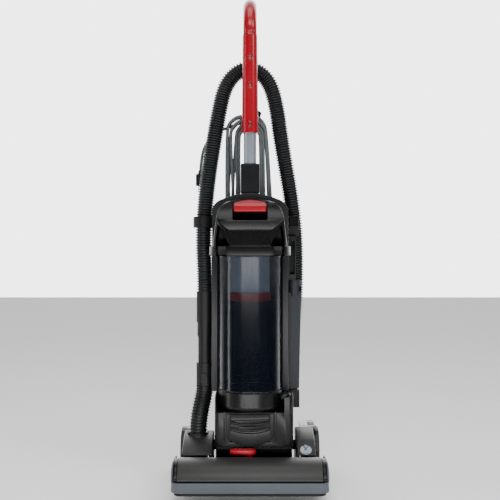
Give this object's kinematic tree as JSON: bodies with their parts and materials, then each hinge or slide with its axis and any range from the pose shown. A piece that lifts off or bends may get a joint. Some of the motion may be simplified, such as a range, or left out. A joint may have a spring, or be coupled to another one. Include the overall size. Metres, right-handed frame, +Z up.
{
  "type": "upright vacuum cleaner",
  "caption": "Upright vacuum cleaner with a reclining body, lift-off clear dust cup, stretch hose with wand, tool on board and a cord wound on two hooks.",
  "frame": {"origin": "on the floor under the middle of the nozzle's width and of the length from bumper to rear wheels", "axes": "+X to the machine's left hand side as a viewer facing its front sees it on the right, front faces -Y, +Z up"},
  "size_m": [0.355, 0.33, 1.213],
  "materials": {
    "black_moulding": "fine moulded texture",
    "gloss_grey": "glossy warm dark grey",
    "bumper_grey": "satin blue grey",
    "arch_grey": "satin dark grey",
    "gloss_black": "glossy black",
    "signal_red": "satin red",
    "smoked_clear": "smoked clear plastic",
    "stem_steel": "silver grey lacquer",
    "steel": "bright",
    "spring_steel": "wire",
    "wheel_black": "hard moulded tread",
    "roller_black": "matt",
    "bristle": "nylon tufts",
    "brush_wood": "satin",
    "belt_rubber": "matt",
    "bush_nylon": "natural nylon",
    "pleats": "pleated filter medium",
    "filter_foam": "pleated filter medium",
    "copper": "windings and laminations",
    "hose_black": "corrugated stretch hose",
    "duct_black": "smooth flexible duct",
    "cord_grey": "satin grey cable",
    "tool_grey": "spark textured dark grey blue",
    "pedal_grey": "grey"
  },
  "bodies": {
    "nozzle": {"base_chassis": "black_moulding", "sole_plate": "black_moulding", "bumper": "bumper_grey", "nozzle_hood": "gloss_grey", "hood_end_caps": "black_moulding", "fender_left": "gloss_grey", "fender_right": "gloss_grey", "suction_duct": "black_moulding", "brush_bearings": "bush_nylon", "drive_belt": "belt_rubber", "rear_axle": "steel", "hinge_pins": "steel", "pedal_spring": "spring_steel", "pivot_bushes": "bush_nylon"},
    "upright": {"motor_housing": "black_moulding", "motor_case": "steel", "exhaust_filter": "filter_foam", "rear_housing": "arch_grey", "handle_socket": "black_moulding", "stem_tube": "stem_steel", "handle_front": "signal_red", "handle_back": "signal_red", "handle_screws": "steel", "handle_grip": "signal_red", "lower_cord_hook": "black_moulding", "hose_cradle": "black_moulding", "hose": "hose_black", "lower_hose": "duct_black", "hose_port": "black_moulding", "wand_socket": "black_moulding", "hose_clip": "black_moulding", "switch_housing": "arch_grey", "tool_clip": "black_moulding", "cord_hank": "cord_grey", "cord_lead": "cord_grey", "cord_tail": "cord_grey", "strain_relief": "black_moulding", "plug": "cord_grey"},
    "brush_roll": {"brush_core": "brush_wood", "brush_bristles": "bristle"},
    "wheel_left": {"rear_wheel_left": "wheel_black"},
    "wheel_right": {"rear_wheel_right": "wheel_black"},
    "carriage": {"roller_carriage": "black_moulding"},
    "rollers": {"front_rollers": "roller_black"},
    "knob": {"height_knob": "signal_red"},
    "pedal": {"release_pedal": "pedal_grey"},
    "rotor": {"motor_rotor": "copper", "motor_fan": "bush_nylon"},
    "filter_door": {"exhaust_door": "black_moulding"},
    "cup": {"dust_cup": "smoked_clear", "cup_base": "black_moulding"},
    "lid": {"cup_lid": "gloss_black", "filter_cartridge": "pleats", "latch_spring": "spring_steel"},
    "latch": {"cup_latch": "signal_red"},
    "cord_hook": {"upper_cord_hook": "cord_grey"},
    "wand": {"wand_tube": "black_moulding", "hose_cuff": "black_moulding"},
    "tool": {"crevice_tool": "tool_grey"},
    "switch": {"power_switch": "tool_grey"}
  },
  "joints": [
    {"name": "recline", "type": "hinge", "parent": "nozzle", "child": "upright", "pos_m": [0, 0.04, 0.083], "axis": [-1, 0, 0], "range_deg": [0, 70], "deforming": ["lower_hose"]},
    {"name": "wheel_left_spin", "type": "hinge", "parent": "nozzle", "child": "wheel_left", "pos_m": [-0.155, 0.11, 0.055], "axis": [1, 0, 0], "continuous": true},
    {"name": "wheel_right_spin", "type": "hinge", "parent": "nozzle", "child": "wheel_right", "pos_m": [0.155, 0.11, 0.055], "axis": [1, 0, 0], "continuous": true},
    {"name": "brush_spin", "type": "hinge", "parent": "nozzle", "child": "brush_roll", "pos_m": [0, -0.134, 0.038], "axis": [1, 0, 0], "continuous": true},
    {"name": "motor_spin", "type": "hinge", "parent": "upright", "child": "rotor", "pos_m": [0, 0.04, 0.083], "axis": [1, 0, 0], "continuous": true},
    {"name": "height_knob_turn", "type": "hinge", "parent": "nozzle", "child": "knob", "pos_m": [0, -0.075, 0.095], "axis": [0, 0, 1], "range_deg": [0, 150]},
    {"name": "carriage_lift", "type": "hinge", "parent": "nozzle", "child": "carriage", "pos_m": [0, -0.07, 0.0335], "axis": [-1, 0, 0], "range_deg": [0, 12.2]},
    {"name": "roller_spin", "type": "hinge", "parent": "carriage", "child": "rollers", "pos_m": [0.0115, -0.098, 0.01], "axis": [1, 0, 0], "continuous": true},
    {"name": "pedal_press", "type": "hinge", "parent": "nozzle", "child": "pedal", "pos_m": [0.126, 0.074, 0.097], "axis": [-1, 0, 0], "range_deg": [0, 5], "stiffness_Nm_per_rad": 3, "springref_deg": -2.86},
    {"name": "filter_door_open", "type": "hinge", "parent": "upright", "child": "filter_door", "pos_m": [0, -0.074, 0.1105], "axis": [1, 0, 0], "range_deg": [0, 85]},
    {"name": "cup_pull", "type": "slide", "parent": "upright", "child": "cup", "axis": [0, -1, 0], "range_m": [0, 0.2]},
    {"name": "lid_lift", "type": "slide", "parent": "cup", "child": "lid", "axis": [0, 0, 1], "range_m": [0, 0.12]},
    {"name": "latch_press", "type": "slide", "parent": "lid", "child": "latch", "axis": [0, 1, 0], "range_m": [0, 0.003], "stiffness_N_per_m": 800, "springref_m": -0.002, "deforming": ["latch_spring"]},
    {"name": "cord_hook_turn", "type": "hinge", "parent": "upright", "child": "cord_hook", "pos_m": [0, 0.115, 0.866], "axis": [0, 1, 0], "range_deg": [0, 180]},
    {"name": "wand_swivel", "type": "hinge", "parent": "upright", "child": "wand", "pos_m": [-0.112, 0.042, 0.35], "axis": [0, 0, 1], "continuous": true},
    {"name": "tool_pull", "type": "slide", "parent": "upright", "child": "tool", "axis": [0, -1, 0], "range_m": [0, 0.1]},
    {"name": "switch_rock", "type": "hinge", "parent": "upright", "child": "switch", "pos_m": [0.1075, 0.026, 0.637], "axis": [1, 0, 0], "range_deg": [0, 6]}
  ],
  "couplings": [
    {"joint": "brush_spin", "follows": "motor_spin", "ratio": 0.73333},
    {"joint": "carriage_lift", "follows": "height_knob_turn", "ratio": 0.08}
  ]
}
